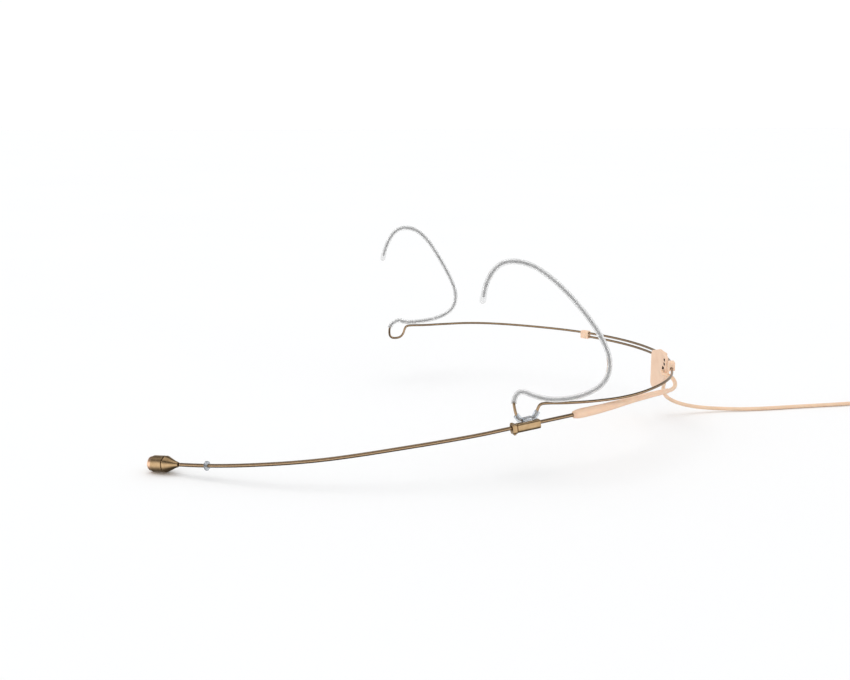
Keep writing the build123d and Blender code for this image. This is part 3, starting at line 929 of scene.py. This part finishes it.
def add_capsule():
    """The cone and spigot that ride with the boom, and the cap with its nose."""
    place = capsule_place()
    r = 2.7                  # mm, outer radius
    wall = 2.4               # mm, radius at which the cap slides on the spigot
    body = [(0.62, 0.0), (0.78, 0.0), (1.25, 1.35), (r - 0.10, 4.05), (r, 4.35), (r, 4.75),
            (wall - 0.02, 4.75), (wall - 0.02, 5.45), (wall - 0.2, 5.45), (wall - 0.2, 4.4),
            (0.95, 1.7), (0.62, 1.7)]
    turned_piece("capsule_shell", body, 0.10, BRONZE, "boom", place, "capsule_body")
    inside = wall + 0.05
    nose = r - 0.32
    cap = [(inside, 5.1), (r - 0.06, 5.1), (r, 5.2), (r, 8.95), (r - 0.10, 9.1), (nose, 9.1),
           (nose, 10.0), (r - 0.48, 10.4), (r - 0.85, 10.6), (r - 0.95, 10.6), (r - 0.95, 10.05),
           (r - 0.65, 9.85), (r - 0.65, 8.8), (inside, 8.8)]
    turned_piece("capsule_cap_shell", cap, 0.12, CAP, "capsule_cap", place, "capsule_cap")


add_capsule()


# ---- cable, coil, tie and plug ---------------------------------------------------------------------------
CABLE_POINTS = [
    HOLE_MOUTH,
    HOLE_MOUTH + HOLE_RUN,
    above(73.4, -27.6, 17.2),
    above(74.3, -24.5, 13.1),
    above(76.9, -20.9, 9.0),
    above(82.4, -18.3, 5.4),
    above(89.3, -18.4, 3.1),
    above(97.2, -18.6, 1.7),
    above(106.0, -20.2, 1.0),
    above(115.5, -22.4, 0.8),
    above(126.0, -23.6, 0.8),
    above(138.0, -24.7, 0.8),
    above(150.0, -26.2, 0.8),
    above(160.0, -27.1, 0.9),
    above(167.5, -27.4, 1.1),
]
TAIL_POINTS = [
    above(184.8, -44.7, 2.3),
    above(184.95, -48.6, 2.8),
    above(185.1, -52.0, 3.0),
]
COIL_CENTRE = (173.0, -39.1)     # mm
COIL_RADIUS = 8.2                # mm, to the middle of the turns
COIL_LIFT = 0.45                 # mm, the foot of the lowest layer over the table
COLUMNS = 6
LAYERS = 4
PITCH = 1.45                     # mm from turn to turn
TURN_POINTS = 16
CROSS_FROM = 0.55                # a turn moves over to its next place between
CROSS_TO = 0.80                  # these two shares of its round
CLIMB_BULGE = 0.45               # columns, how far a turn swings aside as it climbs a layer


def slots_in_order():
    """(column, layer) of each turn: in at the outer foot, out again in the outer column."""
    order = [(column, 0) for column in range(COLUMNS - 1, -1, -1)]
    for layer in range(1, LAYERS):
        outwards = layer % 2 == 1
        last = COLUMNS if layer == LAYERS - 1 else COLUMNS - 1
        row = [(column, layer) for column in range(last)]
        order += row if outwards else row[::-1]
    order += [(COLUMNS - 1, layer) for layer in range(LAYERS - 2, 0, -1)]
    return order


def coil_points():
    """Control points of the wound turns, clockwise from above."""
    order = slots_in_order()
    widen = 1 / cos(pi / TURN_POINTS)
    points = []
    last_steps = TURN_POINTS // 4
    for turn, slot in enumerate(order):
        final = turn == len(order) - 1
        following = slot if final else order[turn + 1]
        upright = following[0] == slot[0]
        outward = 1 if slot[0] >= COLUMNS - 2 else -1
        for step in range(last_steps if final else TURN_POINTS):
            share = step / TURN_POINTS
            t = min(max((share - CROSS_FROM) / (CROSS_TO - CROSS_FROM), 0.0), 1.0)
            t = t * t * (3 - 2 * t)
            column = slot[0] + (following[0] - slot[0]) * t
            layer = slot[1] + (following[1] - slot[1]) * t
            if upright:
                column += outward * CLIMB_BULGE * 4 * t * (1 - t)
            radius = (COIL_RADIUS + (column - (COLUMNS - 1) / 2) * PITCH) * widen
            angle = pi / 2 - 2 * pi * share
            points.append(above(COIL_CENTRE[0] + radius * cos(angle), COIL_CENTRE[1] + radius * sin(angle),
                                COIL_LIFT + (layer + 0.5) * PITCH))
    return points


def add_cable():
    """The cable from the plate along the table, its put-away turns and the tail to the plug."""
    points = CABLE_POINTS + coil_points() + TAIL_POINTS
    curve = nurbs_curve("cable", points, 6)
    curve.bevel_depth = CABLE_RADIUS
    curve.bevel_resolution = 5
    cable = bpy.data.objects.new("cable", curve)
    bpy.context.scene.collection.objects.link(cable)
    curve.materials.append(JACKET)
    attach(cable, "neckband")
    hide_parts("free_cable", "cable_coil", "cable_tail")
    length = run_lengths(along_route(points, 6))[-1]


add_cable()


# ---- carried-over CAD nodes -----------------------------------------------------------------------------
FINISHES = {
    "left_size_slider": BEIGE,
    "right_size_slider": BEIGE,
    "neck_plate": PLATE,
    "boom_holder": BRONZE,
    "holder_collar": BRONZE,
    "friction_bush": WHITE,
    "loop_clip_front": CLEAR,
    "loop_clip_rear": CLEAR,
    "loop_saddle": CLEAR,
    "tail_ferrule": BRONZE,
    "drip_ring": GREY_SILICONE,
    "front_grille": GOLD,
    "cartridge_can": GOLD,
    "diaphragm_ring": GOLD,
    "diaphragm": WHITE,
    "backplate": GOLD,
    "backplate_carrier": WHITE,
    "preamp_board": BOARD,
    "cable_tie": RUBBER,
    "plug_boot": RUBBER,
    "plug_shell": NICKEL,
    "plug_nut": NICKEL,
    "plug_insulator": WHITE,
    "plug_pin": GOLD,
}


def finish_nodes():
    """Give each CAD solid that is still drawn its material."""
    for name, material in FINISHES.items():
        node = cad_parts[name]
        node.data.materials.clear()
        node.data.materials.append(material)


finish_nodes()
